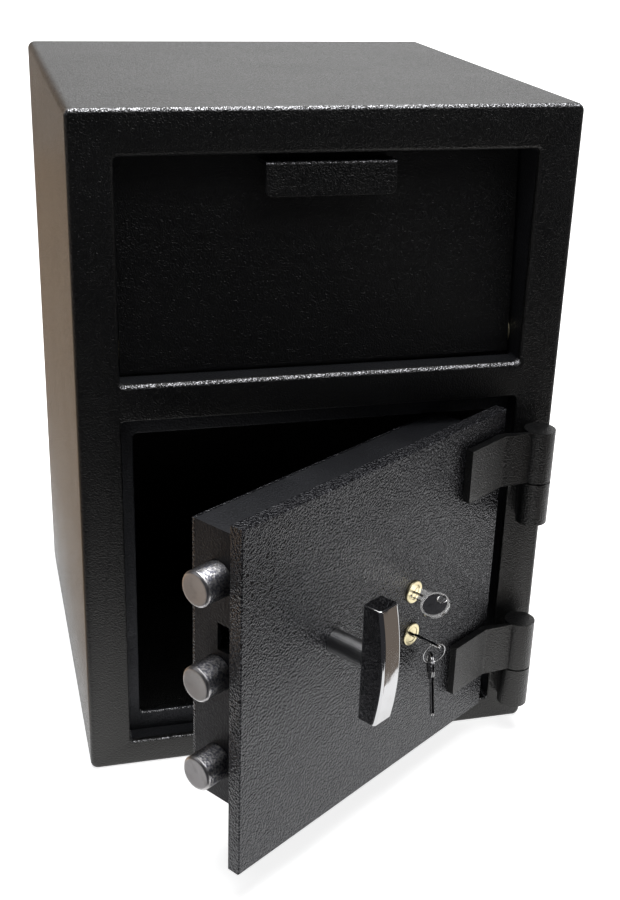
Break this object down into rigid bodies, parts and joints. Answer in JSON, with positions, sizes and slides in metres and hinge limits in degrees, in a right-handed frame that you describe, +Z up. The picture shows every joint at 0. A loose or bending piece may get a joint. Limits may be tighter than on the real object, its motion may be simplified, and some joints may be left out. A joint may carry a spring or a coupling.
{
  "type": "drop safe with deposit drawer",
  "caption": "Steel front loading drop safe: a tilting deposit drawer above a thick hinged door with round bolts, a bar handle and key locks.",
  "frame": {"origin": "middle of the cabinet's underside, on what the safe stands on", "axes": "+X to the right seen from the front, +Y from the front to the back, +Z up; the front face is at y = -0.18 m"},
  "size_m": [0.36, 0.5307, 0.508],
  "materials": {
    "body_paint": "near black textured powder coat, satin gloss",
    "door_paint": "dark grey textured powder coat, satin gloss",
    "inner_paint": "near black paint, duller inside",
    "chrome": "polished chrome plate",
    "bolt_steel": "turned bright steel",
    "plain_steel": "plain zinc plated steel",
    "brass": "polished pale brass"
  },
  "bodies": {
    "cabinet": {"body_shell": "body_paint", "front_frame": "body_paint", "back_panel": "body_paint", "door_stop_frame": "inner_paint", "drawer_surround": "inner_paint", "fish_baffle": "inner_paint", "drawer_pivot_pin_left": "plain_steel", "drawer_pivot_pin_right": "plain_steel", "hinge_knuckle_upper": "body_paint", "hinge_knuckle_lower": "body_paint", "hinge_washer_upper": "plain_steel", "hinge_washer_lower": "plain_steel", "hinge_pin_upper": "plain_steel", "hinge_pin_lower": "plain_steel"},
    "drawer": {"drawer_panel": "body_paint", "drawer_pull": "body_paint", "drawer_floor": "inner_paint", "drawer_cheek_left": "inner_paint", "drawer_cheek_right": "inner_paint", "drawer_bush_left": "brass", "drawer_bush_right": "brass"},
    "door": {"door_plate": "door_paint", "bolt_box": "door_paint", "bolt_box_cover": "door_paint", "bolt_guide": "plain_steel", "spindle_bush": "plain_steel", "cover_screw_1": "plain_steel", "cover_screw_2": "plain_steel", "cover_screw_3": "plain_steel", "cover_screw_4": "plain_steel", "hinge_strap_upper": "door_paint", "hinge_strap_lower": "door_paint", "lock_body_upper": "brass", "lock_body_lower": "brass", "lock_nut_upper": "plain_steel", "lock_nut_lower": "plain_steel"},
    "handle": {"handle_bar": "chrome", "handle_spindle": "chrome", "crank_arm": "plain_steel", "drive_pin": "plain_steel", "spindle_nut": "plain_steel"},
    "bolt_work": {"bolt_lower": "bolt_steel", "bolt_middle": "bolt_steel", "bolt_upper": "bolt_steel", "bolt_nut_lower": "plain_steel", "bolt_nut_middle": "plain_steel", "bolt_nut_upper": "plain_steel", "bolt_carrier": "plain_steel", "drive_plate": "plain_steel"},
    "upper_lock": {"lock_plug_upper": "brass", "lock_cam_upper": "plain_steel", "key_upper": "chrome"},
    "lower_lock": {"lock_plug_lower": "brass", "lock_cam_lower": "plain_steel", "key_lower": "chrome"},
    "key_ring": {"key_ring": "chrome"},
    "spare_key": {"spare_key": "chrome"}
  },
  "joints": [
    {"name": "door_hinge", "type": "hinge", "parent": "cabinet", "child": "door", "pos_m": [0.165, -0.193, 0.144], "axis": [0, 0, 1], "range_deg": [-34, 86]},
    {"name": "drawer_tilt", "type": "hinge", "parent": "cabinet", "child": "drawer", "pos_m": [0, -0.148, 0.334], "axis": [1, 0, 0], "range_deg": [0, 50]},
    {"name": "handle_turn", "type": "hinge", "parent": "door", "child": "handle", "pos_m": [-0.00541, -0.32483, 0.1705], "axis": [-0.5592, 0.829, 0], "range_deg": [0, 90]},
    {"name": "bolt_slide", "type": "slide", "parent": "door", "child": "bolt_work", "axis": [0.829, 0.5592, 0], "range_m": [0, 0.021]},
    {"name": "upper_key_turn", "type": "hinge", "parent": "door", "child": "upper_lock", "pos_m": [0.0516, -0.252, 0.173], "axis": [0.5592, -0.829, 0], "range_deg": [-90, 0]},
    {"name": "lower_key_turn", "type": "hinge", "parent": "door", "child": "lower_lock", "pos_m": [0.0516, -0.252, 0.1375], "axis": [-0.5592, 0.829, 0], "range_deg": [-90, 0]},
    {"name": "ring_swing", "type": "hinge", "parent": "lower_lock", "child": "key_ring", "pos_m": [0.06365, -0.26534, 0.13538], "axis": [0.1539, -0.9715, -0.1805], "range_deg": [-10, 20]},
    {"name": "spare_key_swing", "type": "hinge", "parent": "key_ring", "child": "spare_key", "pos_m": [0.06506, -0.2619, 0.11808], "axis": [0.9903, -0.1392, 0], "range_deg": [-20, 20]}
  ],
  "couplings": [
    {"joint": "handle_turn", "follows": "bolt_slide", "rad_per_m": 74.799}
  ]
}
